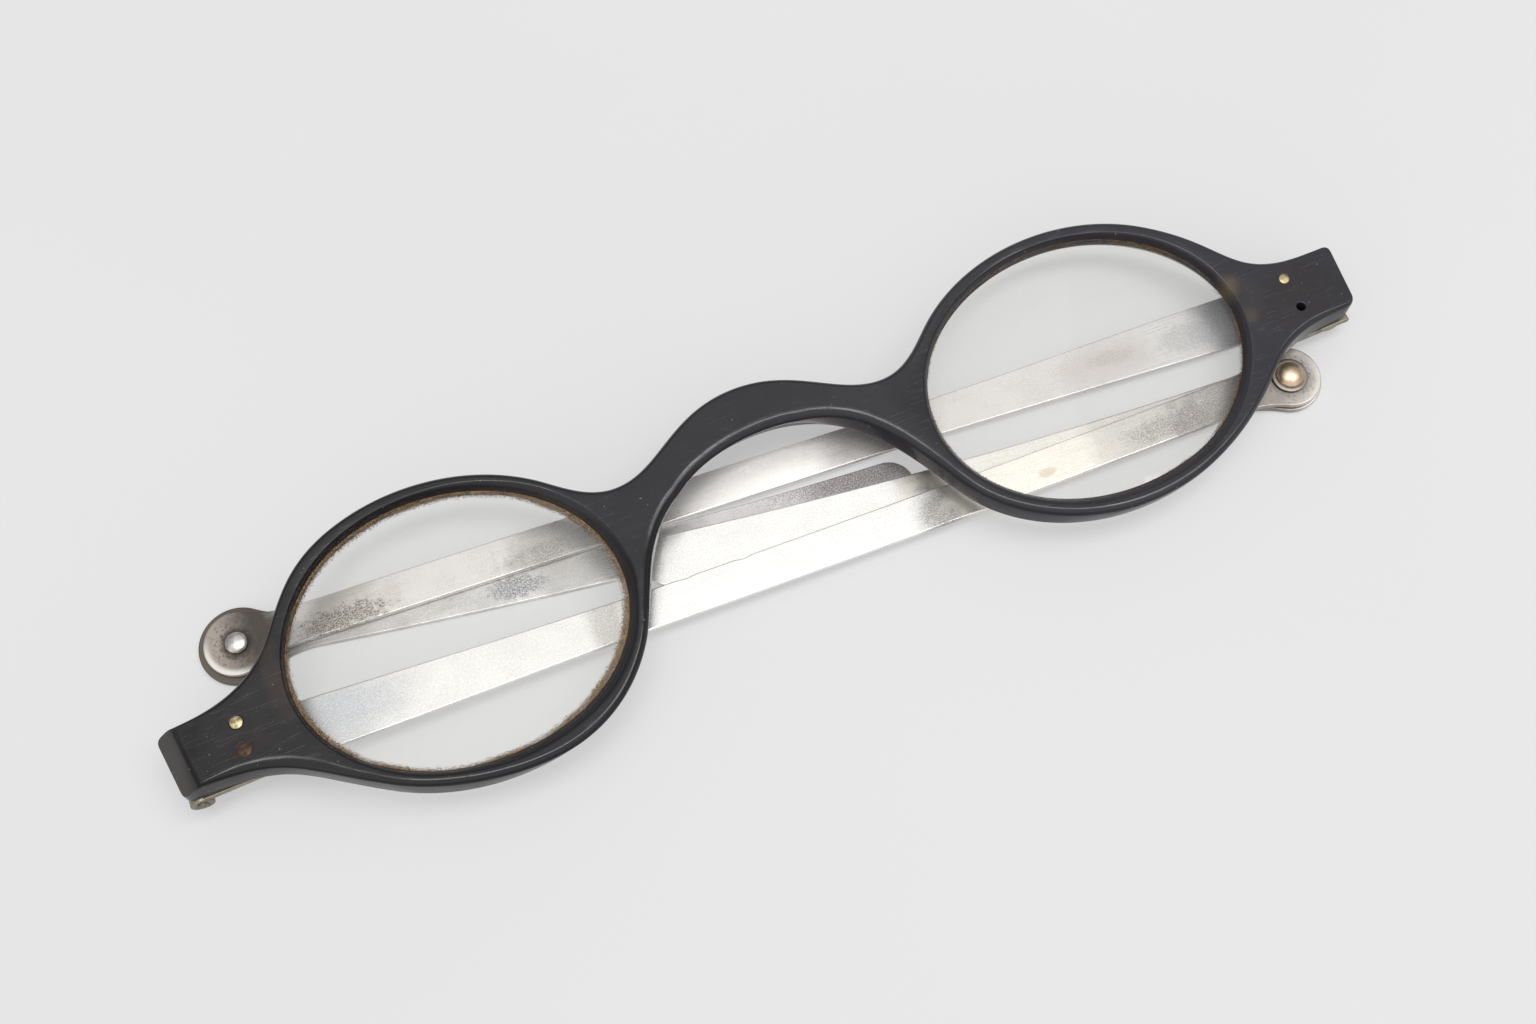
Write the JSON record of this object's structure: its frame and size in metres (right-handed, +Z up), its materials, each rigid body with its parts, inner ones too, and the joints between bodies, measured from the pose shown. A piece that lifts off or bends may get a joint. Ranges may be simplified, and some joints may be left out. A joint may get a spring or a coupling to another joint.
{
  "type": "turn-pin spectacles",
  "caption": "Folded antique spectacles: dark horn front with oval lenses and an arched bridge, and hinged silver temples whose rear sections swivel on turn pins.",
  "frame": {"origin": "centre of the folded spectacles' footprint, on the ground they lie on", "axes": "+X along the front to the right end in the picture, +Y to the brow, +Z up out of the front's face"},
  "size_m": [0.1186, 0.0286, 0.008],
  "materials": {
    "horn": "satin, near black, with brown at thin edges",
    "lens_glass": "clear, slightly hazy",
    "silver": "worn polish with brown and grey tarnish",
    "pin_brass": "polished dome",
    "rivet_brass": "filed flush, dull",
    "rivet_copper": "dark copper brown"
  },
  "bodies": {
    "front": {"horn_front": "horn", "left_lens": "lens_glass", "right_lens": "lens_glass", "left_hinge_plate": "silver", "right_hinge_plate": "silver", "left_hinge_pin": "silver", "right_hinge_pin": "silver", "left_rivet_upper": "rivet_brass", "left_rivet_lower": "rivet_copper", "right_rivet_upper": "rivet_brass"},
    "left_temple": {"left_temple_front": "silver", "left_turn_pin": "pin_brass", "left_pin_washer": "silver"},
    "left_rear": {"left_temple_rear": "silver"},
    "right_temple": {"right_temple_front": "silver", "right_turn_pin": "silver"},
    "right_rear": {"right_temple_rear": "silver"}
  },
  "joints": [
    {"name": "left_temple_hinge", "type": "hinge", "parent": "front", "child": "left_temple", "pos_m": [-0.05761, -0.0012, 0.00349], "axis": [0.0593, 0.9982, 0.0005], "range_deg": [0, 92]},
    {"name": "right_temple_hinge", "type": "hinge", "parent": "front", "child": "right_temple", "pos_m": [0.05707, -0.00075, 0.0016], "axis": [-0.0889, -0.996, 0], "range_deg": [0, 92]},
    {"name": "left_turn_pin_swivel", "type": "hinge", "parent": "left_temple", "child": "left_rear", "pos_m": [0.05048, -0.00762, 0.0014], "axis": [0.0165, -0.0015, 0.9999], "range_deg": [0, 183.4]},
    {"name": "right_turn_pin_swivel", "type": "hinge", "parent": "right_temple", "child": "right_rear", "pos_m": [-0.0508, 0.00888, 0.0013], "axis": [0, 0, 1], "range_deg": [0, 184.65]}
  ]
}
